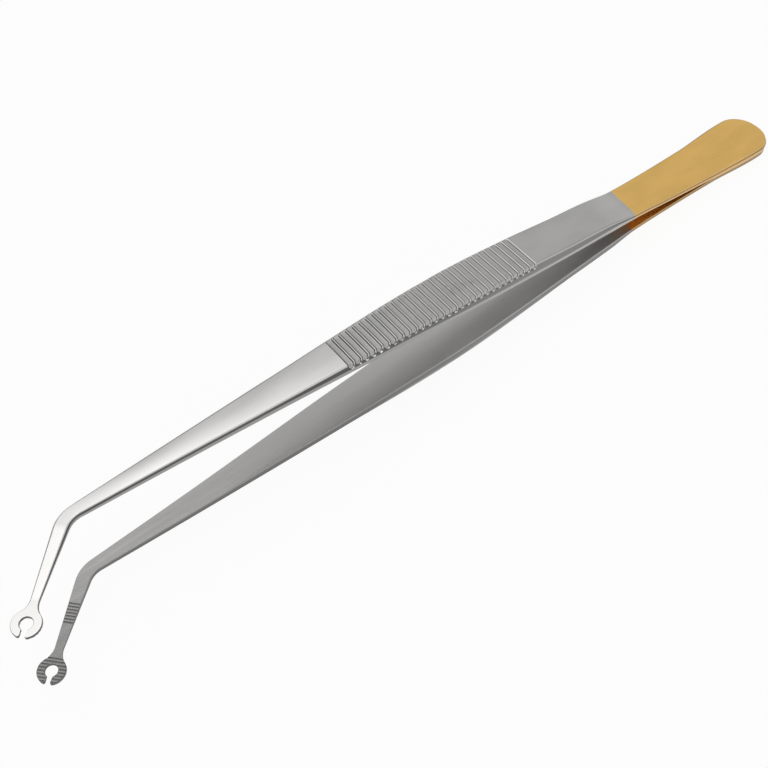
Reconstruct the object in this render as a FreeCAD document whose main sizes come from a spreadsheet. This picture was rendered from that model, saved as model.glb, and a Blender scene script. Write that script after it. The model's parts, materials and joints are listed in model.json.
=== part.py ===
"""Thumb forceps with bent ring tips: two forged arms welded face to face at the butt.

Lengths are in millimetres and angles in degrees. A station is a distance along an arm from its butt end.
Each arm is drawn lying on its flat inner face, outer face up and tip towards -X, then turned into place.
"""

import math
import os

import FreeCAD, Part  # noqa: E401
import Sketcher

SIZES = [
    # butt, where the arms are welded together
    ("weld_length", 18.4, "length of the weld from the butt end"),
    ("end_width", 11.0, "width across the butt end"),
    ("end_corner", 4.9, "corner radius of the butt end"),
    ("end_thick", 1.15, "thickness of one arm at the butt end"),
    # outline and thickness of an arm, from the butt to the bend
    ("paddle_at", 6.5, "station of the widest place of the paddle"),
    ("paddle_width", 11.2, "width there"),
    ("paddle_thick", 1.3, "thickness there"),
    ("weld_width", 9.95, "width where the weld ends"),
    ("weld_thick", 1.15, "thickness there"),
    ("strip_at", 31.0, "station of the thin springy strip"),
    ("strip_width", 8.9, "width there"),
    ("strip_thick", 0.95, "thickness there"),
    ("shoulder_at", 42.0, "station where the strip ends"),
    ("shoulder_width", 8.25, "width there"),
    ("shoulder_thick", 1.05, "thickness there"),
    ("neck_at", 49.0, "station where the strip has swelled to the body"),
    ("neck_width", 8.6, "width there"),
    ("neck_thick", 2.1, "thickness there"),
    ("heel_at", 59.0, "station of the plain land behind the grip"),
    ("heel_width", 8.95, "width there"),
    ("grip_at", 70.0, "station of the rear end of the grip"),
    ("grip_width", 9.2, "width there"),
    ("middle_at", 86.0, "station of the widest place of the grip"),
    ("middle_width", 9.35, "width there"),
    ("palm_at", 101.0, "station where the grip begins to narrow"),
    ("palm_width", 8.45, "width there"),
    ("front_at", 114.0, "station of the front end of the grip"),
    ("front_width", 7.3, "width there"),
    ("shank_at", 128.0, "station of the middle of the shank"),
    ("shank_width", 5.85, "width there"),
    ("shank_thick", 1.85, "thickness there"),
    ("slim_at", 145.0, "station where the shank has grown slim"),
    ("slim_width", 4.15, "width there"),
    ("slim_thick", 1.6, "thickness there"),
    # section of an arm, from the flat inner face to the bevelled outer one
    ("full_thick", 2.5, "thickness from which the drafts and the bevel have their full size"),
    ("parting_height", 1.2, "height of the parting line above the inner face, on a thick stretch"),
    ("parting_share", 0.65, "its share of the thickness, on a thin stretch"),
    ("inner_draft", 0.2, "how far the side leans in below the parting line"),
    ("outer_draft", 0.4, "how far the side leans in above the parting line"),
    ("bevel", 0.35, "bevel round the outer face"),
    # height of the inner face above the plane of the weld
    ("strip_rise", 0.75, "both arms, at the strip"),
    ("shoulder_rise", 1.5, "both arms, at the shoulder"),
    ("neck_rise", 2.0, "both arms, at the neck"),
    ("heel_rise", 2.72, "both arms, at the heel"),
    ("grip_rise", 3.7, "both arms, at the rear end of the grip"),
    ("upper_middle_rise", 5.2, "upper arm, at the middle of the grip"),
    ("upper_palm_rise", 6.35, "upper arm, at the palm"),
    ("upper_front_rise", 6.9, "upper arm, at the front end of the grip"),
    ("upper_shank_rise", 7.3, "upper arm, at the shank"),
    ("upper_slim_rise", 7.65, "upper arm, at the slim shank"),
    ("upper_tip_rise", 7.95, "upper arm, at the bend and the tip"),
    ("lower_middle_rise", 4.85, "lower arm, at the middle of the grip"),
    ("lower_palm_rise", 5.7, "lower arm, at the palm"),
    ("lower_front_rise", 6.3, "lower arm, at the front end of the grip"),
    ("lower_shank_rise", 6.95, "lower arm, at the shank"),
    ("lower_slim_rise", 7.7, "lower arm, at the slim shank"),
    ("lower_tip_rise", 8.25, "lower arm, at the bend and the tip"),
    # back of the grip, an arc seen from the side
    ("back_radius", 340.0, "radius of the arc"),
    ("upper_crown_at", 110.0, "upper arm, station of the arc's highest point"),
    ("upper_crown", 9.17, "upper arm, its height above the plane of the weld"),
    ("lower_crown_at", 108.0, "lower arm, station of the arc's highest point"),
    ("lower_crown", 8.42, "lower arm, its height above the plane of the weld"),
    # flutes across the back of the grip
    ("flute_first_at", 70.5, "station of the rearmost flute"),
    ("flute_count", 29, "flutes on each arm"),
    ("flute_pitch", 1.5, "from one flute to the next, along the arc"),
    ("flute_width", 1.4, "width of a flute at the face"),
    ("flute_floor", 0.95, "width of its floor"),
    ("flute_depth", 0.22, "depth of a flute"),
    # bend, in the plane of the arm
    ("bend_at", 164.85, "station of the corner that the bend rounds"),
    ("bend_angle", 43.0, "turn of the tip"),
    ("bend_radius", 5.0, "radius of the bend's centre line"),
    ("bend_width", 2.45, "width of the bend"),
    ("bend_thick", 1.25, "thickness of the bend"),
    # tip, with the C-shaped ring on its end
    ("tip_run", 17.65, "from the corner of the bend to the centre of the ring"),
    ("tip_width", 1.44, "width of the tip's neck behind the ring"),
    ("tip_thick", 0.6, "thickness of the neck and the ring"),
    ("ring_radius", 2.28, "outer radius of the ring"),
    ("ring_flare", 3.0, "radius of the flares between the neck and the ring"),
    ("ring_hole", 1.03, "radius of the hole"),
    ("ring_slot", 0.95, "width of the slot between the jaws"),
    ("jaw_round", 0.3, "rounding of the jaws' ends"),
    # fine grooves across the inner face of the tip and of the ring
    ("groove_width", 0.3, "width of a groove"),
    ("groove_depth", 0.1, "depth of a groove"),
    ("tip_groove_first", 8.1, "from the centre of the ring back to the first groove on the tip"),
    ("tip_groove_count", 7, "grooves on the tip"),
    ("tip_groove_pitch", 0.55, "from one to the next"),
    ("ring_groove_first", 1.9, "from the centre of the ring on to the first groove on the ring"),
    ("ring_groove_count", 8, "grooves on the ring"),
    ("ring_groove_pitch", 0.55, "from one to the next"),
]

NAMES = {name for name, _, _ in SIZES}
SIDES = {"upper": 1, "lower": -1}  # the lower arm is drawn as its mirror image, because it is turned over
LAP = 0.25  # how far the ring's plate runs back into the neck
BEYOND = 1.0  # how far a cut reaches past the faces that it crosses
FINE = 0.02  # how closely the outline is followed where the resting pose is worked out

doc = FreeCAD.newDocument("thumb_forceps")
sheet = doc.addObject("Spreadsheet::Sheet", "Sizes")


def fill_sheet():
    for row, (name, number, note) in enumerate(SIZES, start=1):
        sheet.set(f"A{row}", name)
        sheet.set(f"B{row}", str(number))
        sheet.setAlias(f"B{row}", name)
        sheet.set(f"C{row}", note)
    doc.recompute()


def cell(name):
    return f"Sizes.{name}"


def value(formula):
    return float(sheet.evalExpression(str(formula)))


def new_sketch(body, name, role, place, axis, turn):
    """A sketch on a plane of the body, set off by formulas along that plane's own axes, then turned."""
    sketch = body.newObject("Sketcher::SketchObject", name)
    origin_plane = next(item for item in body.Origin.OriginFeatures if item.Role == role)
    sketch.AttachmentSupport = (origin_plane, [""])
    sketch.MapMode = "FlatFace"
    one_degree = FreeCAD.Rotation(axis, 1)
    sketch.AttachmentOffset = FreeCAD.Placement(FreeCAD.Vector(), one_degree)
    sketch.setExpression("AttachmentOffset.Rotation.Angle", turn)
    for letter, formula in zip("xyz", place):
        sketch.setExpression(f"AttachmentOffset.Base.{letter}", formula)
    sketch.Visibility = False
    return sketch


def bind(sketch, kind, index, which, formula):
    """Ties a point's distance from the sketch's origin to a formula."""
    constraint = Sketcher.Constraint(kind, -1, 1, index, which, value(formula))
    number = sketch.addConstraint(constraint)
    sketch.setExpression(f"Constraints[{number}]", formula)


def arc_between(start, end, radius):
    """The shorter arc from start to end. A radius above nought has its centre on the left of the way."""
    half = (end - start) * 0.5
    reach = math.sqrt(radius**2 - half.Length**2)
    left = FreeCAD.Vector(-half.y, half.x, 0).normalize()
    centre = start + half + left * math.copysign(reach, radius)
    outward = (start + half - centre).normalize()
    return Part.Arc(start, centre + outward * abs(radius), end)


def nearer_end(sketch, index, point):
    """The end of a line or arc that lies at the point: the sketch keeps each arc anticlockwise."""
    first = sketch.getPoint(index, 1)
    last = sketch.getPoint(index, 2)
    return 2 if (last - point).Length < (first - point).Length else 1


def draw_outline(sketch, steps):
    """A closed outline. A step goes on to (x, y), straight or, where it has a radius, on an arc."""
    points = [FreeCAD.Vector(value(x), value(y), 0) for x, y, _ in steps]
    count = len(steps)
    for i, (_, _, radius) in enumerate(steps):
        if radius is None:
            sketch.addGeometry(Part.LineSegment(points[i - 1], points[i]))
        else:
            sketch.addGeometry(arc_between(points[i - 1], points[i], value(radius)))
    ends = [nearer_end(sketch, i, points[i]) for i in range(count)]
    for i, (x, y, radius) in enumerate(steps):
        after = (i + 1) % count
        joint = Sketcher.Constraint("Coincident", i, ends[i], after, 3 - ends[after])
        sketch.addConstraint(joint)
        bind(sketch, "DistanceX", i, ends[i], x)
        bind(sketch, "DistanceY", i, ends[i], y)
        if radius is not None:
            number = sketch.addConstraint(Sketcher.Constraint("Radius", i, abs(value(radius))))
            sketch.setExpression(f"Constraints[{number}]", f"abs({radius})")


def arm_section(body, name, place, width, thick, turn="0"):
    """An arm's eight-sided section, its inner face on the sketch's horizontal axis."""
    sketch = new_sketch(body, name, "YZ_Plane", place, FreeCAD.Vector(0, 1, 0), turn)
    share = f"min(1; ({thick}) / {cell('full_thick')})"
    half = f"{width} / 2"
    bevel = f"{cell('bevel')} * {share}"
    outer = f"{half} - {cell('outer_draft')} * {share}"
    right = [
        (f"{half} - {cell('inner_draft')} * {share}", "0"),
        (half, f"min({cell('parting_height')}; {cell('parting_share')} * ({thick}))"),
        (outer, f"({thick}) - {bevel}"),
        (f"{outer} - {bevel}", thick),
    ]
    left = [(f"-({across})", up) for across, up in reversed(right)]
    draw_outline(sketch, [(across, up, None) for across, up in right + left])
    return sketch


def straight_section(body, name, station, rise, width, thick):
    return arm_section(body, name, ("0", rise, f"-({station})"), width, thick)


def add_feature(body, kind, name, profile, formulas=(), **settings):
    feature = body.newObject(f"PartDesign::{kind}", name)
    feature.Profile = profile
    for setting, content in settings.items():
        setattr(feature, setting, content)
    for setting, formula in formulas:
        feature.setExpression(setting, formula)
    doc.recompute()
    return feature


def add_cut(body, name, profile, formulas=(), **settings):
    before = body.Shape.Volume
    feature = add_feature(body, "Pocket", name, profile, formulas, **settings)
    assert body.Shape.Volume < before, f"{name} cuts nothing"
    return feature


def cut_across(body, name, profile):
    """A cut right through, both ways from its sketch."""
    return add_cut(body, name, profile, Type="ThroughAll", SideType="Symmetric")


def repeat_cut(body, kind, name, cut, settings, formulas):
    """Copies of a cut, along or about an axis of the cut's own sketch."""
    before = body.Shape.Volume
    pattern = body.newObject(f"PartDesign::{kind}", name)
    pattern.Originals = [cut]
    pattern.Mode = "Spacing"
    for setting, content in settings.items():
        setattr(pattern, setting, content)
    for setting, formula in formulas:
        pattern.setExpression(setting, formula)
    body.Tip = pattern
    doc.recompute()
    assert body.Shape.Volume < before, f"{name} cuts nothing more"


def make_paddle(body):
    """The welded end, whose inner face lies in the plane of the weld."""
    stations = [("end", "0"), ("paddle", cell("paddle_at")), ("weld", cell("weld_length"))]
    sections = []
    for name, station in stations:
        width = cell(f"{name}_width")
        thick = cell(f"{name}_thick")
        sections.append(straight_section(body, f"{name}_section", station, "0", width, thick))
    add_feature(body, "AdditiveLoft", "paddle", sections[0], Sections=sections[1:])


def round_butt_end(body):
    """Takes the two corners off the butt end."""
    corner = cell("end_corner")
    half = f"{cell('end_width')} / 2"
    wide = cell("paddle_width")
    steps = [
        (f"{BEYOND}", f"-{wide}", None),
        (f"{BEYOND}", wide, None),
        (f"-{corner}", wide, None),
        (f"-{corner}", half, None),
        ("0", f"{half} - {corner}", f"-{corner}"),
        ("0", f"{corner} - {half}", None),
        (f"-{corner}", f"-{half}", f"-{corner}"),
        (f"-{corner}", f"-{wide}", None),
    ]
    sketch = new_sketch(body, "butt_corners", "XY_Plane", "000", FreeCAD.Vector(0, 0, 1), "0")
    draw_outline(sketch, steps)
    cut_across(body, "butt_round", sketch)


def back_thick(which, name, rise):
    """Thickness that brings the outer face up to the arc of the grip's back at a station."""
    away = f"({cell(name + '_at')} - {cell(which + '_crown_at')})"
    radius = cell("back_radius")
    drop = f"({radius} - sqrt({radius} * {radius} - {away} * {away}))"
    return f"{cell(which + '_crown')} - {drop} - {rise}"


def bend_reach():
    """From the corner of the bend back to where the bend starts, and on to where it ends."""
    return f"({cell('bend_radius')} * tan({cell('bend_angle')} * 0.5deg))"


def station_section(body, which, name, label):
    """The section at a named station, with its own rise or the one that the two arms share."""
    rise = cell(f"{name}_rise" if f"{name}_rise" in NAMES else f"{which}_{name}_rise")
    thick = cell(f"{name}_thick") if f"{name}_thick" in NAMES else back_thick(which, name, rise)
    return straight_section(body, label, cell(f"{name}_at"), rise, cell(f"{name}_width"), thick)


def make_stretch(body, which, name, stations):
    """A stretch of the arm through its sections. Weld and bend are the ends of the straight run."""
    ends = {
        "weld": (cell("weld_length"), "0"),
        "bend": (f"{cell('bend_at')} - {bend_reach()}", cell(f"{which}_tip_rise")),
    }
    sections = []
    for station in stations:
        label = f"{name}_at_{station}"
        if station in ends:
            at, rise = ends[station]
            width = cell(f"{station}_width")
            section = straight_section(body, label, at, rise, width, cell(f"{station}_thick"))
        else:
            section = station_section(body, which, station, label)
        sections.append(section)
    add_feature(body, "AdditiveLoft", name, sections[0], Sections=sections[1:])


def make_bend(body, which):
    """The arm's section carried round the bend."""
    side = SIDES[which]
    place = ("0", cell(f"{which}_tip_rise"), f"{bend_reach()} - {cell('bend_at')}")
    sketch = arm_section(body, "bend_section", place, cell("bend_width"), cell("bend_thick"))
    centre = f"{-side} * {cell('bend_radius')}"
    foot = FreeCAD.Vector(value(centre), 0, 0)
    top = FreeCAD.Vector(value(centre), 1, 0)
    axis = sketch.addGeometry(Part.LineSegment(foot, top), True)
    bind(sketch, "DistanceX", axis, 1, centre)
    bind(sketch, "DistanceY", axis, 1, "0")
    bind(sketch, "DistanceX", axis, 2, centre)
    bind(sketch, "DistanceY", axis, 2, "1")
    turn = [("Angle", cell("bend_angle"))]
    about = (sketch, ["Axis0"])
    add_feature(body, "Revolution", "bend", sketch, turn, ReferenceAxis=about, Reversed=side < 0)


def tip_point(which, along):
    """A point on the tip's centre line, a distance along it from the corner of the bend."""
    angle = f"({cell('bend_angle')} * 1deg)"
    x = f"-{cell('bend_at')} - ({along}) * cos({angle})"
    y = f"{-SIDES[which]} * ({along}) * sin({angle})"
    return x, y, cell(f"{which}_tip_rise")


def tip_turn(which):
    return f"{SIDES[which]} * {cell('bend_angle')}"


def tip_sketch(body, name, which, along):
    """A sketch in the plane of the tip's inner face, its horizontal axis pointing back along the tip."""
    place = tip_point(which, along)
    return new_sketch(body, name, "XY_Plane", place, FreeCAD.Vector(0, 0, 1), tip_turn(which))


def tip_section(body, name, which, along, width, thick):
    x, y, z = tip_point(which, along)
    return arm_section(body, name, (y, z, x), width, thick, tip_turn(which))


def flare_start():
    """From the centre of the ring back to where its flares leave the neck."""
    outer = f"({cell('ring_radius')} + {cell('ring_flare')})"
    inner = f"({cell('tip_width')} / 2 + {cell('ring_flare')})"
    return f"sqrt({outer} * {outer} - {inner} * {inner})"


def make_tip(body, which):
    """The tapering run from the bend to the neck behind the ring."""
    neck = f"{cell('tip_run')} - {flare_start()}"
    ends = [("bend", bend_reach()), ("tip", neck)]
    wide, slim = [
        tip_section(body, f"tip_at_{name}", which, along, cell(f"{name}_width"), cell(f"{name}_thick"))
        for name, along in ends
    ]
    add_feature(body, "AdditiveLoft", "tip", wide, Sections=[slim])


def make_ring(body, which):
    """The ring's plate with its flares, the hole and the slot between the jaws."""
    radius = cell("ring_radius")
    flare = cell("ring_flare")
    half = f"{cell('tip_width')} / 2"
    share = f"{radius} / ({radius} + {flare})"
    touch_x = f"{share} * {flare_start()}"
    touch_y = f"{share} * ({half} + {flare})"
    plate = tip_sketch(body, "ring_outline", which, cell("tip_run"))
    steps = [
        (f"{flare_start()} + {LAP}", f"-{half}", None),
        (f"{flare_start()} + {LAP}", half, None),
        (flare_start(), half, None),
        (touch_x, touch_y, f"-{flare}"),
        (f"-{radius}", "0", radius),
        (touch_x, f"-{touch_y}", radius),
        (flare_start(), f"-{half}", f"-{flare}"),
    ]
    draw_outline(plate, steps)
    add_feature(body, "Pad", "ring", plate, [("Length", cell("tip_thick"))])

    hole = tip_sketch(body, "hole_outline", which, cell("tip_run"))
    hole.addGeometry(Part.Circle(FreeCAD.Vector(), FreeCAD.Vector(0, 0, 1), value(cell("ring_hole"))))
    hole.addConstraint(Sketcher.Constraint("Coincident", 0, 3, -1, 1))
    number = hole.addConstraint(Sketcher.Constraint("Radius", 0, value(cell("ring_hole"))))
    hole.setExpression(f"Constraints[{number}]", cell("ring_hole"))
    cut_across(body, "hole", hole)

    slot = tip_sketch(body, "slot_outline", which, cell("tip_run"))
    side = f"{cell('ring_slot')} / 2"
    mouth = f"-({radius} + {BEYOND})"
    corners = [("0", side), (mouth, side), (mouth, f"-{side}"), ("0", f"-{side}")]
    draw_outline(slot, [(x, y, None) for x, y in corners])
    cut_across(body, "slot", slot)


def round_jaws(body, which):
    """Rounds the upright edges at the mouth of the slot."""
    slot = body.Tip
    x, y, _ = tip_point(which, f"{cell('tip_run')} + {cell('ring_radius')}")
    mouth = FreeCAD.Vector(value(x), value(y), 0)
    names = []
    for number, edge in enumerate(slot.Shape.Edges, start=1):
        foot = FreeCAD.Vector(edge.CenterOfMass.x, edge.CenterOfMass.y, 0)
        upright = abs(edge.tangentAt(edge.FirstParameter).z) > 0.99
        if upright and (foot - mouth).Length < value(cell("ring_slot")):
            names.append(f"Edge{number}")
    assert len(names) == 2, f"jaw edges: {names}"
    fillet = body.newObject("PartDesign::Fillet", "jaws")
    fillet.Base = (slot, names)
    fillet.setExpression("Radius", cell("jaw_round"))
    doc.recompute()


def cut_flutes(body, which):
    """Flutes across the back of the grip, each cut from the last by a turn about the centre of its arc."""
    radius = cell("back_radius")
    crown_at = cell(f"{which}_crown_at")
    lean = f"-asin(({crown_at} - {cell('flute_first_at')}) / {radius}) / 1deg"
    place = (f"-{crown_at}", f"{cell(which + '_crown')} - {radius}", "0")
    sketch = new_sketch(body, "flute_outline", "XZ_Plane", place, FreeCAD.Vector(0, 0, 1), lean)
    floor = f"{cell('flute_floor')} / 2"
    face = f"{cell('flute_width')} / 2"
    left = [
        (f"-{floor}", f"{radius} - {cell('flute_depth')}"),
        (f"-{face}", radius),
        (f"-{face}", f"{radius} + {BEYOND}"),
    ]
    right = [(x[1:], y) for x, y in reversed(left)]
    draw_outline(sketch, [(x, y, None) for x, y in left + right])
    flute = cut_across(body, "flute", sketch)
    turn = f"{cell('flute_pitch')} / {radius} * 1rad / 1deg"
    step = [("Offset", turn), ("Occurrences", cell("flute_count"))]
    repeat_cut(body, "PolarPattern", "flutes", flute, {"Axis": (sketch, ["N_Axis"])}, step)


def cut_grooves(body, which, row, along):
    """A row of fine grooves across the inner face, running back along the tip."""
    sketch = tip_sketch(body, f"{row}_groove_outline", which, along)
    half = f"{cell('groove_width')} / 2"
    wide = f"({cell('ring_radius')} + {BEYOND})"
    corners = [(f"-{half}", f"-{wide}"), (half, f"-{wide}"), (half, wide), (f"-{half}", wide)]
    draw_outline(sketch, [(x, y, None) for x, y in corners])
    depth = [("Length", cell("groove_depth"))]
    groove = add_cut(body, f"{row}_groove", sketch, depth, Reversed=True)
    step = [("Offset", cell(f"{row}_groove_pitch")), ("Occurrences", cell(f"{row}_groove_count"))]
    repeat_cut(body, "LinearPattern", f"{row}_grooves", groove, {"Direction": (sketch, ["H_Axis"])}, step)


def make_arm(which):
    name = f"{which}_arm"
    body = doc.addObject("PartDesign::Body", name)
    body.Label = name
    make_paddle(body)
    round_butt_end(body)
    make_stretch(body, which, "strip", ("weld", "strip", "shoulder"))
    make_stretch(body, which, "heel", ("shoulder", "neck", "heel", "grip"))
    make_stretch(body, which, "grip", ("grip", "middle", "palm", "front"))
    make_stretch(body, which, "shank", ("front", "shank", "slim", "bend"))
    make_bend(body, which)
    make_tip(body, which)
    make_ring(body, which)
    round_jaws(body, which)
    cut_flutes(body, which)
    cut_grooves(body, which, "tip", f"{cell('tip_run')} - {cell('tip_groove_first')}")
    cut_grooves(body, which, "ring", f"{cell('tip_run')} + {cell('ring_groove_first')}")
    return body


def under_side(points):
    """The lower outline of a set of (x, z) points, from left to right."""
    hull = []
    for x, z in sorted(points):
        while len(hull) > 1:
            (x1, z1), (x2, z2) = hull[-2:]
            if (x2 - x1) * (z - z1) - (z2 - z1) * (x - x1) > 0:
                break
            hull.pop()
        hull.append((x, z))
    return hull


def resting_turn(arms):
    """The turn about Y that lays the pair on its under side, below its centre of gravity."""
    whole = sum(arm.Shape.Volume for arm in arms)
    centre = FreeCAD.Vector()
    for arm in arms:
        centre += arm.Shape.CenterOfGravity * (arm.Shape.Volume / whole)
    points = [(point.x, point.z) for arm in arms for point in arm.Shape.tessellate(FINE)[0]]
    outline = under_side(points)

    def height(stretch):
        (x1, z1), (x2, z2) = stretch
        across = (x2 - x1) * (centre.z - z1) - (z2 - z1) * (centre.x - x1)
        return across / math.hypot(x2 - x1, z2 - z1)

    (x1, z1), (x2, z2) = min(zip(outline, outline[1:]), key=height)
    return FreeCAD.Rotation(FreeCAD.Vector(0, 1, 0), math.degrees(math.atan2(z2 - z1, x2 - x1)))


def lay_down(arms):
    """Puts the pair at rest on the ground, centred over the origin."""
    turn = resting_turn(arms)
    for arm in arms:
        arm.Placement = FreeCAD.Placement(FreeCAD.Vector(), turn).multiply(arm.Placement)
    doc.recompute()
    points = [point for arm in arms for point in arm.Shape.tessellate(FINE)[0]]
    x = [point.x for point in points]
    y = [point.y for point in points]
    lowest = min(point.z for point in points)
    shift = FreeCAD.Vector(-(min(x) + max(x)) / 2, -(min(y) + max(y)) / 2, -lowest)
    for arm in arms:
        arm.Placement = FreeCAD.Placement(shift, FreeCAD.Rotation()).multiply(arm.Placement)
    doc.recompute()
    print("turned about Y by", round(math.degrees(turn.Angle) * turn.Axis.y, 4), "then moved by", shift)


def check_document(arms):
    for item in doc.Objects:
        failed = {"Invalid", "Error"} & set(item.State)
        assert not failed, f"{item.Name}: {item.State}"
    for arm in arms:
        assert not arm.Shape.isNull(), f"{arm.Label} is empty"
        assert arm.Shape.isValid(), f"{arm.Label} is not valid"
        assert len(arm.Shape.Solids) == 1, f"{arm.Label} has {len(arm.Shape.Solids)} solids"


def main():
    fill_sheet()
    upper = make_arm("upper")
    lower = make_arm("lower")
    lower.Placement = FreeCAD.Placement(FreeCAD.Vector(), FreeCAD.Rotation(FreeCAD.Vector(1, 0, 0), 180))
    doc.recompute()
    arms = [upper, lower]
    check_document(arms)
    lay_down(arms)
    check_document(arms)
    os.makedirs("parts", exist_ok=True)
    for arm in arms:
        arm.Shape.exportStep(f"parts/{arm.Label}.step")
        box = arm.Shape.BoundBox
        print(arm.Label, "volume", round(arm.Shape.Volume, 1), "box", box)


main()
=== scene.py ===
import json
import math

import bmesh
import bpy
from mathutils import Matrix, Vector


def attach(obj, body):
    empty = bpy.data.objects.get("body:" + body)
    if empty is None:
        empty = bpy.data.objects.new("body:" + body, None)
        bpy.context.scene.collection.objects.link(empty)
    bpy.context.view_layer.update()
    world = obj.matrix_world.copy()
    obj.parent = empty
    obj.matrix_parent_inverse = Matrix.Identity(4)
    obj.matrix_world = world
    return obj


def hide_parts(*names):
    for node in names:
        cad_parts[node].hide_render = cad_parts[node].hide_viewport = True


# Thumb forceps lying on a pale floor.
# The arms are drawn in their own frame, in millimetres: x is nought at the butt end and the tips
# point towards -x, the tips bend towards -y, and the weld lies in the plane where z is nought.

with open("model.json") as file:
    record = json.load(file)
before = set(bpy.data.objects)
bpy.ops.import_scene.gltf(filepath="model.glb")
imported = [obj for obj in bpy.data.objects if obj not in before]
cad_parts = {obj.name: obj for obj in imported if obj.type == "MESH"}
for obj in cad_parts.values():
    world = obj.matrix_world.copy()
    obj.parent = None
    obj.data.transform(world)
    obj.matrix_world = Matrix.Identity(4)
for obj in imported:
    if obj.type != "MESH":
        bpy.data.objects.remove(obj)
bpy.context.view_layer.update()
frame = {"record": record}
mm = 0.001


def armsPlacement():
    mounts = {mount["name"]: mount for mount in frame["record"]["mounts"]}
    mountHeight = 0.55 * mm  # the butt end's mount above the weld
    along = Vector(mounts["butt_end"]["axis"]).normalized()
    up = Vector(mounts["upper_ring"]["axis"]).normalized()
    origin = Vector(mounts["butt_end"]["pos_m"]) - up * mountHeight
    turn = Matrix((along, up.cross(along), up)).transposed().to_4x4()
    return Matrix.Translation(origin) @ turn


armsToWorld = armsPlacement()

# the gold plating, and where the steel's painted light and shade changes along the arm

platingAndPaintedLight = {
    "goldEnd": 41.35,  # mm from the butt end
    "goldSoft": 0.25,  # half of the width over which it thins out
    "goldLean": -0.13,  # how far its edge is off square
    "frontFrom": 128.0,  # mm: from here to the tips the steel has its front tone, painted light and shade
    "rearTo": 60.0,  # from here to the butt its rear tone, painted light and shade of its own
    "tipsFrom": 162.0,  # painted shade: from here on some faces grow darker towards the tips
    "tipsSoft": 16.0,  # over which they do
}

# Each kind of face has its own tone, which stands in for some of the light and shade on real steel:
# its colour in front, at the rear and where it is plated, and the share of it that is left at the tips.
metals = {
    "outer": {
        "steel": (0.69, 0.683, 0.671), "rear": (0.58, 0.574, 0.564), "gold": (0.97, 0.615, 0.19),
        "rough": 0.3, "brush": 0.01, "grain": 0.003, "tips": 1.0,
    },
    "bevel": {
        "steel": (0.57, 0.564, 0.554), "rear": (0.5, 0.495, 0.486), "gold": (0.82, 0.56, 0.25),
        "rough": 0.28, "brush": 0.01, "grain": 0.003, "tips": 1.0,
    },
    # the bevel of the far half: a copy of the bevel with painted shade
    "shaded far bevel": {
        "steel": (0.38, 0.376, 0.369), "rear": (0.4, 0.396, 0.389), "gold": (0.36, 0.29, 0.17),
        "rough": 0.34, "brush": 0.01, "grain": 0.003, "tips": 1.0,
    },
    # the sides: painted shade
    "side": {
        "steel": (0.12, 0.119, 0.117), "rear": (0.24, 0.238, 0.233), "gold": (0.4, 0.235, 0.08),
        "rough": 0.38, "brush": 0.05, "grain": 0.02, "tips": 1.0,
    },
    "lower": {
        "steel": (0.3, 0.297, 0.292), "rear": (0.42, 0.416, 0.408), "gold": (0.66, 0.42, 0.17),
        "rough": 0.36, "brush": 0.05, "grain": 0.02, "tips": 1.0,
    },
    # the lower arm's sides and the grooves' bottoms: painted shade
    "under": {
        "steel": (0.17, 0.168, 0.165), "rear": (0.24, 0.238, 0.233), "gold": (0.34, 0.24, 0.13),
        "rough": 0.38, "brush": 0.05, "grain": 0.02, "tips": 0.8,
    },
    # the rim beside the inner face: a painted highlight, brightest at the rear
    "rim": {
        "steel": (0.42, 0.416, 0.408), "rear": (0.72, 0.713, 0.7), "gold": (0.85, 0.6, 0.34),
        "rough": 0.26, "brush": 0.02, "grain": 0.01, "tips": 1.0,
    },
    "inner": {
        "steel": (0.375, 0.371, 0.364), "rear": (0.53, 0.525, 0.515), "gold": (0.88, 0.53, 0.13),
        "rough": 0.42, "brush": 0.24, "grain": 0.02, "tips": 0.72,
    },
    # the flutes' floors: a grainy matte steel, with painted shade in its tone
    "floor": {
        "steel": (0.43, 0.426, 0.418), "rear": (0.5, 0.495, 0.486), "gold": (0.7, 0.45, 0.14),
        "rough": 0.46, "brush": 0.0, "grain": 0.12, "tips": 1.0,
    },
    "lit flank": {
        "steel": (0.76, 0.752, 0.739), "rear": (0.82, 0.812, 0.797), "gold": (0.9, 0.65, 0.3),
        "rough": 0.3, "brush": 0.0, "grain": 0.0, "tips": 1.0,
    },
    "shaded flank": {
        "steel": (0.12, 0.119, 0.117), "rear": (0.13, 0.129, 0.126), "gold": (0.3, 0.2, 0.08),
        "rough": 0.4, "brush": 0.0, "grain": 0.0, "tips": 1.0,
    },
}


def addNode(tree, kind, inputs=None, **settings):
    node = tree.nodes.new(kind)
    for name, content in settings.items():
        setattr(node, name, content)
    for name, content in (inputs or {}).items():
        if isinstance(content, bpy.types.NodeSocket):
            tree.links.new(content, node.inputs[name])
        else:
            node.inputs[name].default_value = content
    return node


def calc(tree, operation, *terms):
    node = addNode(tree, "ShaderNodeMath", operation=operation)
    for i, term in enumerate(terms):
        if isinstance(term, bpy.types.NodeSocket):
            tree.links.new(term, node.inputs[i])
        else:
            node.inputs[i].default_value = term
    return node.outputs[0]


def remap(tree, value, fromLow, fromHigh, toLow, toHigh):
    inputs = {"Value": value, "From Min": fromLow, "From Max": fromHigh, "To Min": toLow, "To Max": toHigh}
    return addNode(tree, "ShaderNodeMapRange", inputs, interpolation_type="SMOOTHSTEP").outputs["Result"]


def armCoordinates(tree):
    # millimetres in the arms' own frame
    place = addNode(tree, "ShaderNodeTexCoord").outputs["Object"]
    turned = {
        "Vector": place,
        "Location": armsToWorld.to_translation(),
        "Rotation": armsToWorld.to_euler(),
        "Scale": (mm, mm, mm),
    }
    return addNode(tree, "ShaderNodeMapping", turned, vector_type="TEXTURE").outputs["Vector"]


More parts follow.
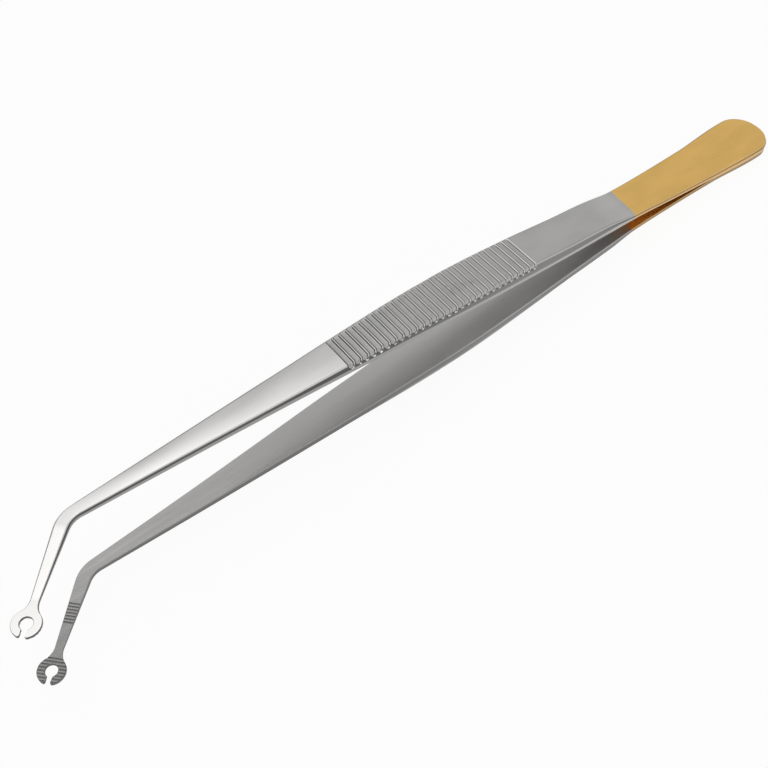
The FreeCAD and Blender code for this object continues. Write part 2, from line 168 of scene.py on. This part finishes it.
def noise(tree, where, stretch, detail=3.0, rough=0.55):
    stretched = addNode(tree, "ShaderNodeMapping", {"Vector": where, "Scale": stretch}).outputs["Vector"]
    inputs = {"Vector": stretched, "Scale": 1.0, "Detail": detail, "Roughness": rough}
    return addNode(tree, "ShaderNodeTexNoise", inputs).outputs["Fac"]


def makeMetal(name, look):
    material = bpy.data.materials.new(name)
    material.use_nodes = True
    tree = material.node_tree
    tree.nodes.clear()
    where = armCoordinates(tree)
    axes = addNode(tree, "ShaderNodeSeparateXYZ", {"Vector": where})

    streaks = noise(tree, where, (0.05, 3.5, 0.3), 3.0, 0.6)  # grinding lines along the arm
    grain = noise(tree, where, (4.0, 4.0, 1.0), 2.0, 0.6)  # etched grain
    patches = noise(tree, where, (0.09, 0.3, 0.3), 2.0, 0.5)  # handling marks, a few mm across

    # plated zone: its edge is a little off square and wavers
    waver = calc(tree, "MULTIPLY", calc(tree, "SUBTRACT", noise(tree, where, (0.2, 1.1, 1.1)), 0.5), 0.5)
    lean = calc(tree, "MULTIPLY", axes.outputs["Y"], platingAndPaintedLight["goldLean"])
    reach = calc(tree, "ADD", calc(tree, "ADD", axes.outputs["X"], lean), waver)
    low, high = -platingAndPaintedLight["goldEnd"] - platingAndPaintedLight["goldSoft"], -platingAndPaintedLight["goldEnd"] + platingAndPaintedLight["goldSoft"]
    plated = remap(tree, reach, low, high, 0.0, 1.0)

    # front and rear tones blend here: painted light and shade that changes along the arm
    along = remap(tree, axes.outputs["X"], -platingAndPaintedLight["frontFrom"], -platingAndPaintedLight["rearTo"], 0.0, 1.0)
    steel = addNode(tree, "ShaderNodeMix", {"Factor": along}, data_type="RGBA")
    steel.inputs[6].default_value = (*look["steel"], 1.0)
    steel.inputs[7].default_value = (*look["rear"], 1.0)
    colours = addNode(tree, "ShaderNodeMix", {"Factor": plated}, data_type="RGBA")
    tree.links.new(steel.outputs[2], colours.inputs[6])
    colours.inputs[7].default_value = (*look["gold"], 1.0)

    brush, fine = look["brush"], look["grain"]
    shade = calc(tree, "ADD", calc(tree, "MULTIPLY", streaks, 0.5 * brush), 1.0 - 0.25 * brush)
    shade = calc(tree, "MULTIPLY", shade, remap(tree, patches, 0.3, 0.7, 0.97, 1.03))
    shade = calc(tree, "MULTIPLY", shade, remap(tree, grain, 0.3, 0.7, 1 - fine, 1 + fine))
    # painted shade: the tone falls to the look's tips share towards the tips
    low, high = -platingAndPaintedLight["tipsFrom"] - platingAndPaintedLight["tipsSoft"], -platingAndPaintedLight["tipsFrom"]
    shade = calc(tree, "MULTIPLY", shade, remap(tree, axes.outputs["X"], low, high, look["tips"], 1.0))
    tone = addNode(tree, "ShaderNodeVectorMath", operation="SCALE")
    tree.links.new(colours.outputs[2], tone.inputs[0])
    tree.links.new(shade, tone.inputs["Scale"])

    uneven = calc(tree, "ADD", remap(tree, patches, 0.3, 0.7, -0.03, 0.03), look["rough"])
    scratched = calc(tree, "MULTIPLY", calc(tree, "SUBTRACT", streaks, 0.5), 1.5 * brush)
    rough = calc(tree, "ADD", uneven, scratched)

    height = calc(tree, "ADD", calc(tree, "MULTIPLY", streaks, brush), calc(tree, "MULTIPLY", grain, fine))
    bump = addNode(tree, "ShaderNodeBump", {"Height": height, "Strength": 0.6, "Distance": 0.03 * mm})

    inputs = {"Base Color": tone.outputs[0], "Metallic": 1.0, "Roughness": rough}
    shader = addNode(tree, "ShaderNodeBsdfPrincipled", {**inputs, "Normal": bump.outputs["Normal"]})
    output = addNode(tree, "ShaderNodeOutputMaterial")
    tree.links.new(shader.outputs[0], output.inputs["Surface"])
    return material


metalNames = list(metals)
metalOf = {name: makeMetal(f"{name} metal", look) for name, look in metals.items()}
print("metals made", metalNames)

# the two arms

outline = [  # mm: station, width, thickness or None on the arc of the back, rise of the upper and lower arm
    (0.0, 11.0, 1.15, 0.0, 0.0),
    (6.5, 11.2, 1.3, 0.0, 0.0),
    (18.4, 9.95, 1.15, 0.0, 0.0),
    (31.0, 8.9, 0.95, 0.75, 0.75),
    (42.0, 8.25, 1.05, 1.5, 1.5),
    (49.0, 8.6, 2.1, 2.0, 2.0),
    (59.0, 8.95, None, 2.72, 2.72),
    (70.0, 9.2, None, 3.7, 3.7),
    (86.0, 9.35, None, 5.2, 4.85),
    (101.0, 8.45, None, 6.35, 5.7),
    (114.0, 7.3, None, 6.9, 6.3),
    (128.0, 5.85, 1.85, 7.3, 6.95),
    (145.0, 4.15, 1.6, 7.65, 7.7),
]

arm = {
    "weldEnd": 18.4,
    "stripEnd": 42.0,
    "corner": 4.9,  # plan radius of the butt end's corners
    "endSoft": 0.08,  # softening of the butt end's rim
    "backRadius": 340.0,
    "crownAt": {"upper": 110.0, "lower": 108.0},
    "crown": {"upper": 9.17, "lower": 8.42},
    "fullThick": 2.5,
    "partingHeight": 1.2,
    "partingShare": 0.65,
    "innerDraft": 0.2,
    "outerDraft": 0.4,
    "bevel": 0.35,
    "innerEdge": 0.07,  # tiny chamfer beside the inner face
    "rimShare": 0.2,  # the stretch beside it with a painted highlight, as a share of the height below the parting line
    "bendAt": 164.85,
    "bendAngle": math.radians(43.0),
    "bendRadius": 5.0,
    "bendWidth": 2.45,
    "bendThick": 1.25,
    "tipRun": 17.65,
    "tipWidth": 1.44,
    "tipThick": 0.6,
    "tipRise": {"upper": 7.95, "lower": 8.25},
    "lap": 0.08,  # how far the tube runs on into the ring
}

crownDrop = [  # mm: station, how far the outer face's edges lie below its middle
    (0.0, 0.05),
    (40.0, 0.05),
    (70.0, 0.06),
    (100.0, 0.06),
    (116.0, 0.09),
    (130.0, 0.10),
    (150.0, 0.07),
    (160.0, 0.02),
    (182.0, 0.0),
]

flutes = {
    "from": 69.6,  # mm: the stations are closer from here on
    "first": 70.5,
    "count": 29,
    "pitch": 1.5,
    "width": 1.42,
    "floor": 0.9,
    "depth": 0.2,
    "nearDrop": 0.6,  # how far a flute's rounded end runs down the near side
    "nearFade": 0.12,  # over which that end runs out
    "farDrop": 0.25,  # the far end runs out on the bevel
    "farFade": 0.6,
    "flankSteps": 4,
}

ring = {
    "radius": 2.28,
    "flare": 3.0,
    "hole": 1.03,
    "slot": 0.95,
    "jawRound": 0.3,
    "soft": 0.06,
    "inset": 0.004,  # how far its flat faces lie inside the arm's
    "meets": 1.66,  # from its centre back to where the flares have met it
    "spun": math.radians(340),
    "steps": 96,
}

grooves = {
    "width": 0.3,
    "floor": 0.24,
    "depth": 0.1,
    "pitch": 0.55,
    "tipFirst": 8.1,  # from the ring's centre, back along the tip
    "tipCount": 7,
    "ringFirst": -1.9,
    "ringCount": 8,
}

grooveOffsets = [-grooves["width"] / 2, -grooves["floor"] / 2, grooves["floor"] / 2, grooves["width"] / 2]

bendReach = arm["bendRadius"] * math.tan(arm["bendAngle"] / 2)
bendStart = arm["bendAt"] - bendReach
bendEnd = bendStart + arm["bendRadius"] * arm["bendAngle"]
flareStart = math.sqrt((ring["radius"] + ring["flare"]) ** 2 - (arm["tipWidth"] / 2 + ring["flare"]) ** 2)
neckAt = bendEnd + arm["tipRun"] - bendReach - flareStart
ringAt = neckAt + flareStart
tubeEnd = ringAt - ring["meets"]


def smoothValue(points, at, breaks=()):
    # a smooth line through (station, value) points, with its own slope on each side of a break
    last = len(points) - 1
    i = min(next((k for k in range(last) if at <= points[k + 1][0]), last - 1), last - 1)

    def secant(k):
        return (points[k + 1][1] - points[k][1]) / (points[k + 1][0] - points[k][0])

    def slope(k):
        if k in (0, last) or points[k][0] in breaks:
            return secant(i)
        before = points[k][0] - points[k - 1][0]
        after = points[k + 1][0] - points[k][0]
        return (secant(k - 1) * after + secant(k) * before) / (before + after)

    span = points[i + 1][0] - points[i][0]
    t = max(0.0, min(1.0, (at - points[i][0]) / span))
    start = (1 + 2 * t) * (1 - t) ** 2 * points[i][1] + t * (1 - t) ** 2 * span * slope(i)
    end = t * t * (3 - 2 * t) * points[i + 1][1] + t * t * (t - 1) * span * slope(i + 1)
    return start + end


def backHeight(which, at):
    away = at - arm["crownAt"][which]
    return arm["crown"][which] - (arm["backRadius"] - math.sqrt(arm["backRadius"] ** 2 - away**2))


def stationTables(which):
    column = 3 if which == "upper" else 4
    widths, thicks, rises = [], [], []
    for row in outline:
        at, width, thick, rise = row[0], row[1], row[2], row[column]
        widths.append((at, width))
        thicks.append((at, backHeight(which, at) - rise if thick is None else thick))
        rises.append((at, rise))
    widths.append((bendStart, arm["bendWidth"]))
    thicks.append((bendStart, arm["bendThick"]))
    rises.append((bendStart, arm["tipRise"][which]))
    return widths, thicks, rises


def sizesAt(tables, at):
    # half width, thickness and rise at a distance along the arm's centre line
    widths, thicks, rises = tables
    if at <= bendStart:
        breaks = (arm["weldEnd"], arm["stripEnd"])
        half = smoothValue(widths, at) / 2
        if at < arm["corner"]:
            half += math.sqrt(arm["corner"] ** 2 - (arm["corner"] - at) ** 2) - arm["corner"]
        return half, smoothValue(thicks, at, breaks), smoothValue(rises, at, breaks)
    rise = rises[-1][1]
    if at <= bendEnd:
        return arm["bendWidth"] / 2, arm["bendThick"], rise
    share = min(1.0, (at - bendEnd) / (neckAt - bendEnd))
    half = (arm["bendWidth"] + (arm["tipWidth"] - arm["bendWidth"]) * share) / 2
    thick = arm["bendThick"] + (arm["tipThick"] - arm["bendThick"]) * share
    if at > neckAt:
        half += ring["flare"] - math.sqrt(ring["flare"] ** 2 - (at - neckAt) ** 2)
    return half, thick, rise


def placeAt(at):
    # a point of the centre line and the direction across the arm there
    if at <= bendStart:
        return Vector((-at, 0, 0)), Vector((0, 1, 0))
    turned = min((at - bendStart) / arm["bendRadius"], arm["bendAngle"])
    across = Vector((-math.sin(turned), math.cos(turned), 0))
    foot = Vector((-bendStart, -arm["bendRadius"], 0)) + across * arm["bendRadius"]
    beyond = max(0.0, at - bendEnd)
    return foot + Vector((-math.cos(turned), -math.sin(turned), 0)) * beyond, across


outerShares = [1.0, 0.95, 0.88, 0.76, 0.6, 0.4, 0.2, 0.0]
sideDepths = [0.08, 0.16, 0.24, 0.32, 0.4, 0.48, 0.56, 0.64, 0.72, 0.9]  # mm below the bevel
bevelSteps = 4


def halfSection(half, thick, drop):
    # (across, up, metal of the stretch that follows), from the middle of the inner face to that of the outer
    share = min(1.0, thick / arm["fullThick"])
    parting = min(arm["partingHeight"], arm["partingShare"] * thick)
    chamfer = arm["innerEdge"] * share
    low = half - arm["innerDraft"] * share
    bevel = arm["bevel"] * share
    outer = half - arm["outerDraft"] * share
    drop = min(drop, 0.5 * bevel)
    top = thick - drop
    points = [(0.0, 0.0, "inner"), (0.5 * low, 0.0, "inner"), (low - chamfer, 0.0, "rim")]
    points.append((low, chamfer, "rim"))
    rim = arm["rimShare"]
    points.append((low + (half - low) * rim, parting * rim, "lower"))
    points.append((half, parting, "side"))
    sideHeight = top - bevel - parting
    for depth in reversed(sideDepths):
        fall = depth * min(1.0, sideHeight / (sideDepths[-1] + 0.1))
        way = fall / sideHeight
        points.append((outer + (half - outer) * way, top - bevel - fall, "side"))
    for step in range(bevelSteps + 1):
        angle = math.pi / 2 * step / bevelSteps
        kind = "bevel" if step < bevelSteps else "outer"
        points.append((outer - bevel * (1 - math.cos(angle)), top - bevel * (1 - math.sin(angle)), kind))
    edge = outer - bevel
    for across in outerShares[1:]:
        points.append((edge * across, thick - drop * across**2, "outer"))
    return points


def wholeSection(half, thick, drop):
    side = halfSection(half, thick, drop)
    right = [(across, up) for across, up, _ in side]
    left = [(-across, up) for across, up, _ in reversed(side[1:-1])]
    kinds = [kind for _, _, kind in side[:-1]]
    kinds += list(reversed(kinds))
    return right + left, kinds


def fluteCentres(which):
    crownAt, radius = arm["crownAt"][which], arm["backRadius"]
    first = math.asin((crownAt - flutes["first"]) / radius)
    turns = [first - k * flutes["pitch"] / radius for k in range(flutes["count"])]
    return [crownAt - radius * math.sin(turn) for turn in turns]


def fluteAt(centres, at):
    # depth of the flutes at a station and how far down the side they run there, both as shares
    offset = min(abs(at - centre) for centre in centres)
    edge, floor = flutes["width"] / 2, flutes["floor"] / 2
    if offset >= edge:
        return 0.0, 0.0
    way = min(1.0, (edge - offset) / (edge - floor))
    return way * way * (3 - 2 * way), math.sqrt(1 - (offset / edge) ** 2)


def sinkFlutes(points, depth, reach, nearWay):
    # lets the flutes into the outer face, over the near bevel and down the near side with rounded ends
    middle = max(range(len(points)), key=lambda i: (points[i][1], -abs(points[i][0])))
    sunk = list(points)
    deep = [0.0] * len(points)
    arc = arm["bevel"] * math.pi / 2
    ends = {nearWay: ("nearDrop", "nearFade", arc), -nearWay: ("farDrop", "farFade", 0.0)}
    for way, (drop, fade, rim) in ends.items():
        end = rim + flutes[drop] * (reach if way == nearWay else 1.0)
        faceEdge = max(abs(across) for across, up in points if points[middle][1] - up < 0.45 * arm["bevel"])
        travelled = -faceEdge
        for step in range(1 if way < 0 else 0, len(points) // 2 - 3):
            k = (middle + way * step) % len(points)
            point = Vector(points[k])
            below = Vector(points[(k - way) % len(points)])
            above = Vector(points[(k + way) % len(points)])
            if step > 0:
                travelled += (point - below).length
            share = max(0.0, min(1.0, (end - travelled) / flutes[fade]))
            inward = (above - below).normalized()
            inward = Vector((-inward.y, inward.x)) if way == 1 else Vector((inward.y, -inward.x))
            sunk[k] = tuple(point + inward * flutes["depth"] * depth * share)
            deep[k] = depth * share
    return sunk, deep


def spread(start, end, step):
    count = max(1, round((end - start) / step))
    return [start + (end - start) * k / count for k in range(count)]


def armStations(which):
    corner, weldEnd, stripEnd = arm["corner"], arm["weldEnd"], arm["stripEnd"]
    stations = [corner * (1 - math.cos(math.radians(a))) for a in range(0, 90, 6)]
    stations += spread(corner, weldEnd, 1.2) + spread(weldEnd, stripEnd, 0.8)
    stations += spread(stripEnd, flutes["from"], 0.7)
    pitch, width, floor, flankSteps = flutes["pitch"], flutes["width"], flutes["floor"], flutes["flankSteps"]
    flank = [floor / 2 + (width - floor) / 2 * step / flankSteps for step in range(flankSteps + 1)]
    inside = flank + [floor / 4, 0.0]
    offsets = [-pitch / 2] + sorted({-offset for offset in inside} | set(inside))
    centres = fluteCentres(which)
    for centre in centres:
        stations += [centre + offset for offset in offsets]
    stations += spread(centres[-1] + pitch / 2, bendStart, 0.9)
    stations += spread(bendStart, bendEnd, 0.4)
    marks = set(spread(bendEnd, neckAt, 0.6) + spread(neckAt, tubeEnd, 0.2) + [tubeEnd])
    for centre in grooveCentres():
        for offset in grooveOffsets:
            marks.add(ringAt - centre - offset)
    stations += sorted(mark for mark in marks if mark <= tubeEnd)
    return stations


def grooveCentres():
    onTip = [grooves["tipFirst"] + k * grooves["pitch"] for k in range(grooves["tipCount"])]
    onRing = [grooves["ringFirst"] + k * grooves["pitch"] for k in range(grooves["ringCount"])]
    return onTip + onRing


def inGroove(fromRing):
    return any(abs(fromRing - centre) < grooves["floor"] / 2 + 0.001 for centre in grooveCentres())


def nextLoop(bm, loop):
    count = len(loop)
    edges = [bm.edges.get((loop[i], loop[(i + 1) % count])) for i in range(count)]
    made = bmesh.ops.extrude_edge_only(bm, edges=edges)["geom"]
    fresh = {item for item in made if isinstance(item, bmesh.types.BMVert)}
    return [next(e.other_vert(v) for e in v.link_edges if e.other_vert(v) in fresh) for v in loop]


def metalAt(which, kind, at, farHalf, sunk, was, grooved):
    # picks a face's painted tone: lit and shaded flanks by which way they face, painted shade on the far
    # bevel, in grooves and under the lower arm
    # sunk and was say how deep the flutes lie at this station and at the one before, 2 being a whole depth
    if abs(sunk - was) > 0.25:
        return "lit flank" if sunk > was and sunk + was < 2 else "shaded flank"
    if min(sunk, was) > 1.1:
        return "floor"
    if kind == "inner" and grooved:
        return "under"
    if kind == "bevel" and at > bendStart:
        return "outer"
    if kind == "bevel" and farHalf:
        return "shaded far bevel"
    if which == "lower":
        return {"side": "under", "lower": "under", "rim": "lower"}.get(kind, kind)
    return kind


def drawTube(which):
    # the whole arm without its ring, drawn outer face up
    tables = stationTables(which)
    centres = fluteCentres(which)
    stations = armStations(which)
    bm = bmesh.new()
    loop = None
    before = None
    wasGroove = False
    for at in stations + [tubeEnd + arm["lap"]]:
        half, thick, rise = sizesAt(tables, at)
        points, kinds = wholeSection(half, thick, smoothValue(crownDrop, at))
        depth, reach = fluteAt(centres, at)
        deep = [0.0] * len(points)
        if depth > 0:
            points, deep = sinkFlutes(points, depth, reach, 1 if which == "upper" else -1)
        if at == 0.0:
            soft = arm["endSoft"]
            shrink = 1 - soft / half
            points = [(across * shrink, soft + up * (thick - 2 * soft) / thick) for across, up in points]
        isGroove = inGroove(ringAt - at)
        if isGroove:
            cut = grooves["depth"]
            points = [(across, cut + 0.3 * up if up < cut else up) for across, up in points]
        if at > tubeEnd:
            points = [(across * 0.9, up) for across, up in points]
        if loop is None:
            loop = bmesh.ops.create_circle(bm, segments=len(points), radius=1.0)["verts"]
        else:
            loop = nextLoop(bm, loop)
        centre, side = placeAt(max(at, arm["endSoft"] if at > 0 else 0.0))
        for vert, (across, up) in zip(loop, points):
            vert.co = centre + side * across + Vector((0, 0, rise + up))
        if before is not None:
            for i, kind in enumerate(kinds):
                j = (i + 1) % len(loop)
                face = bm.edges.get((loop[i], loop[j])).link_faces[0]
                sunk, was = deep[i] + deep[j], before[i] + before[j]
                metal = metalAt(which, kind, at, i < len(kinds) // 2, sunk, was, isGroove and wasGroove)
                face.material_index = metalNames.index(metal)
        before = deep
        wasGroove = isGroove
    openEdges = [e for e in bm.edges if e.is_boundary]
    for face in bmesh.ops.holes_fill(bm, edges=openEdges, sides=0)["faces"]:
        face.material_index = metalNames.index("side")
    bmesh.ops.recalc_face_normals(bm, faces=bm.faces[:])
    return bm


def drawRing(which):
    # a short section spun about the ring's axis, then drawn towards the slot so that its jaws are parallel
    bm = bmesh.new()
    inner, outer, soft = ring["hole"], ring["radius"], ring["soft"]
    low, high = ring["inset"], arm["tipThick"] - ring["inset"]
    corners = [
        (inner + soft, low), (outer - soft, low), (outer, low + soft), (outer, high - soft),
        (outer - soft, high), (inner + soft, high), (inner, high - soft), (inner, low + soft),
    ]
    loop = bmesh.ops.create_circle(bm, segments=len(corners), radius=1.0)["verts"]
    for vert, (out, up) in zip(loop, corners):
        vert.co = Vector((out, 0, up))
    edges = bm.edges[:]
    turn = ring["spun"]
    bmesh.ops.rotate(bm, verts=bm.verts[:], cent=(0, 0, 0), matrix=Matrix.Rotation(-turn / 2, 3, "Z"))
    bmesh.ops.spin(
        bm, geom=list(loop) + edges, cent=(0, 0, 0), axis=(0, 0, 1), angle=turn, steps=ring["steps"]
    )
    openEdges = [e for e in bm.edges if e.is_boundary]
    bmesh.ops.holes_fill(bm, edges=openEdges, sides=0)
    for vert in bm.verts:
        out = math.hypot(vert.co.x, vert.co.y)
        share = math.atan2(vert.co.y, vert.co.x) / (turn / 2)
        share = math.sin(share * math.pi / 2)  # closer steps beside the jaws
        room = math.pi - math.asin(0.5 * ring["slot"] / out)
        toJaw = out * room * (1 - abs(share))
        if out > 0.5 * (inner + outer) and toJaw < ring["jawRound"]:
            out -= ring["jawRound"] - math.sqrt(ring["jawRound"] ** 2 - (ring["jawRound"] - toJaw) ** 2)
        vert.co.x = out * math.cos(share * room)
        vert.co.y = out * math.sin(share * room)
    bmesh.ops.recalc_face_normals(bm, faces=bm.faces[:])
    for face in bm.faces:
        flat = abs(face.normal.z) > 0.9
        kind = "side" if not flat else ("outer" if face.normal.z > 0 else "inner")
        face.material_index = metalNames.index(kind)
    for centre in grooveCentres():
        for offset in grooveOffsets:
            if abs(centre + offset) < outer:
                cutAt = (centre + offset, 0, 0)
                everything = bm.verts[:] + bm.edges[:] + bm.faces[:]
                bmesh.ops.bisect_plane(bm, geom=everything, plane_co=cutAt, plane_no=(1, 0, 0))
    for vert in bm.verts:
        if inGroove(vert.co.x) and vert.co.z < grooves["depth"]:
            vert.co.z = grooves["depth"] + 0.3 * vert.co.z
    # the grooves' bottoms get painted shade
    for face in bm.faces:
        middle = face.calc_center_median()
        if inGroove(middle.x) and middle.z < 1.5 * grooves["depth"] and abs(face.normal.z) > 0.9:
            face.material_index = metalNames.index("under")
    centre, across = placeAt(ringAt)
    along = across.cross(Vector((0, 0, 1)))
    turnIn = Matrix((along, across, Vector((0, 0, 1)))).transposed().to_4x4()
    place = Matrix.Translation(centre + Vector((0, 0, arm["tipRise"][which]))) @ turnIn
    bmesh.ops.transform(bm, matrix=place, verts=bm.verts[:])
    return bm


def asObject(bm, name):
    mesh = bpy.data.meshes.new(name)
    bm.to_mesh(mesh)
    bm.free()
    for metal in metalNames:
        mesh.materials.append(metalOf[metal])
    piece = bpy.data.objects.new(name, mesh)
    bpy.context.scene.collection.objects.link(piece)
    return piece


def joined(piece, other):
    # one closed skin out of the two
    union = piece.modifiers.new("union", "BOOLEAN")
    union.operation = "UNION"
    union.solver = "EXACT"
    union.object = other
    bpy.context.view_layer.update()
    mesh = bpy.data.meshes.new_from_object(piece.evaluated_get(bpy.context.evaluated_depsgraph_get()))
    piece.modifiers.clear()
    piece.data = mesh
    bpy.data.objects.remove(other)


sharpEdge = math.radians(34)  # edges that turn by more stay sharp


def layInPlace(piece, which):
    bm = bmesh.new()
    bm.from_mesh(piece.data)
    if which == "lower":
        bmesh.ops.scale(bm, vec=(1, 1, -1), verts=bm.verts[:])
    bmesh.ops.transform(bm, matrix=armsToWorld @ Matrix.Scale(mm, 4), verts=bm.verts[:])
    bmesh.ops.remove_doubles(bm, verts=bm.verts[:], dist=0.001 * mm)
    bmesh.ops.recalc_face_normals(bm, faces=bm.faces[:])
    for face in bm.faces:
        face.smooth = True
    for edge in bm.edges:
        edge.smooth = edge.calc_face_angle(0.0) < sharpEdge
    bm.to_mesh(piece.data)
    bm.free()


def makeArm(which):
    piece = asObject(drawTube(which), f"{which}_arm_finished")
    joined(piece, asObject(drawRing(which), f"{which}_ring"))
    layInPlace(piece, which)
    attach(piece, "root")
    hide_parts(f"{which}_arm")
    print(which, "arm made,", len(piece.data.polygons), "faces")


for armName in ("upper", "lower"):
    makeArm(armName)

# floor, light and camera

floor = {"radius": 3.0, "colour": (0.86, 0.86, 0.86), "glow": 0.93}


def makeFloor():
    bm = bmesh.new()
    bmesh.ops.create_circle(bm, cap_ends=True, segments=64, radius=floor["radius"])
    mesh = bpy.data.meshes.new("pale_floor")
    bm.to_mesh(mesh)
    bm.free()
    piece = bpy.data.objects.new("pale_floor", mesh)
    bpy.context.scene.collection.objects.link(piece)
    material = bpy.data.materials.new("floor paper")
    material.use_nodes = True
    tree = material.node_tree
    tree.nodes.clear()
    inputs = {"Base Color": (*floor["colour"], 1.0), "Roughness": 0.9}
    paper = addNode(tree, "ShaderNodeBsdfPrincipled", inputs)
    glow = addNode(tree, "ShaderNodeEmission", {"Strength": 1.0})
    ray = addNode(tree, "ShaderNodeLightPath")
    seen = calc(tree, "MAXIMUM", ray.outputs["Is Camera Ray"], ray.outputs["Is Glossy Ray"])
    seen = calc(tree, "MAXIMUM", seen, ray.outputs["Is Transmission Ray"])
    mix = addNode(tree, "ShaderNodeMixShader", {"Fac": calc(tree, "MULTIPLY", seen, floor["glow"])})
    tree.links.new(paper.outputs[0], mix.inputs[1])
    tree.links.new(glow.outputs[0], mix.inputs[2])
    output = addNode(tree, "ShaderNodeOutputMaterial")
    tree.links.new(mix.outputs[0], output.inputs["Surface"])
    mesh.materials.append(material)


sky = {
    "darkSide": 0.10,  # beyond the tips
    "brightSide": 0.47,  # added beyond the butt
    "boxes": [  # direction, degrees within which it is full, degrees at which it ends, brightness
        ((-0.06, 0.12, 1.0), 18.0, 40.0, 1.15),  # overhead
        ((0.35, -0.7, 0.55), 14.0, 34.0, 0.5),  # high on the near side
        ((0.95, 0.25, 0.12), 8.0, 22.0, 0.15),  # low beyond the butt
    ],
}


def makeSky():
    # a studio tent with soft boxes, darkest beyond the tips
    world = bpy.data.worlds.new("studio tent")
    bpy.context.scene.world = world
    world.use_nodes = True
    tree = world.node_tree
    tree.nodes.clear()
    where = addNode(tree, "ShaderNodeTexCoord").outputs["Generated"]
    axes = addNode(tree, "ShaderNodeSeparateXYZ", {"Vector": where})
    side = calc(tree, "ADD", axes.outputs["X"], calc(tree, "MULTIPLY", axes.outputs["Z"], 0.35))
    level = calc(tree, "ADD", remap(tree, side, -0.25, 0.2, 0.0, sky["brightSide"]), sky["darkSide"])
    for direction, full, end, brightness in sky["boxes"]:
        towards = addNode(tree, "ShaderNodeVectorMath", operation="DOT_PRODUCT")
        tree.links.new(where, towards.inputs[0])
        towards.inputs[1].default_value = Vector(direction).normalized()
        low, high = math.cos(math.radians(end)), math.cos(math.radians(full))
        box = remap(tree, towards.outputs["Value"], low, high, 0.0, brightness)
        level = calc(tree, "ADD", level, box)
    light = addNode(tree, "ShaderNodeBackground", {"Strength": level})
    light.inputs["Color"].default_value = (1.0, 1.0, 1.0, 1.0)
    output = addNode(tree, "ShaderNodeOutputWorld")
    tree.links.new(light.outputs[0], output.inputs["Surface"])


view = {
    "lens": 52.573,
    "sensor": 36.0,
    "target": (-90.0, 0.0, 0.0),
    "azimuth": math.radians(-40.272),
    "elevation": math.radians(52.872),
    "roll": math.radians(2.080),
    "distance": 206.979,
    "right": -9.680,
    "up": -10.987,
}


def makeCamera():
    azimuth, elevation, roll = view["azimuth"], view["elevation"], view["roll"]
    flat = math.cos(elevation)
    back = Vector((math.sin(azimuth) * flat, -math.cos(azimuth) * flat, math.sin(elevation)))
    level = Vector((math.cos(azimuth), math.sin(azimuth), 0))
    upright = back.cross(level)
    right = level * math.cos(roll) + upright * math.sin(roll)
    up = upright * math.cos(roll) - level * math.sin(roll)
    eye = Vector(view["target"]) + right * view["right"] + up * view["up"] + back * view["distance"]
    pose = Matrix((right, up, back)).transposed().to_4x4()
    camera = bpy.data.cameras.new("camera")
    camera.lens = view["lens"]
    camera.sensor_width = view["sensor"]
    camera.clip_start = 0.01
    camera.clip_end = 20.0
    holder = bpy.data.objects.new("camera", camera)
    turned = armsToWorld.to_3x3().to_4x4() @ pose
    holder.matrix_world = Matrix.Translation(armsToWorld @ (eye * mm)) @ turned
    bpy.context.scene.collection.objects.link(holder)
    bpy.context.scene.camera = holder


makeFloor()
makeSky()
makeCamera()
bpy.context.scene.view_settings.view_transform = "Standard"
print("floor, light and camera made")
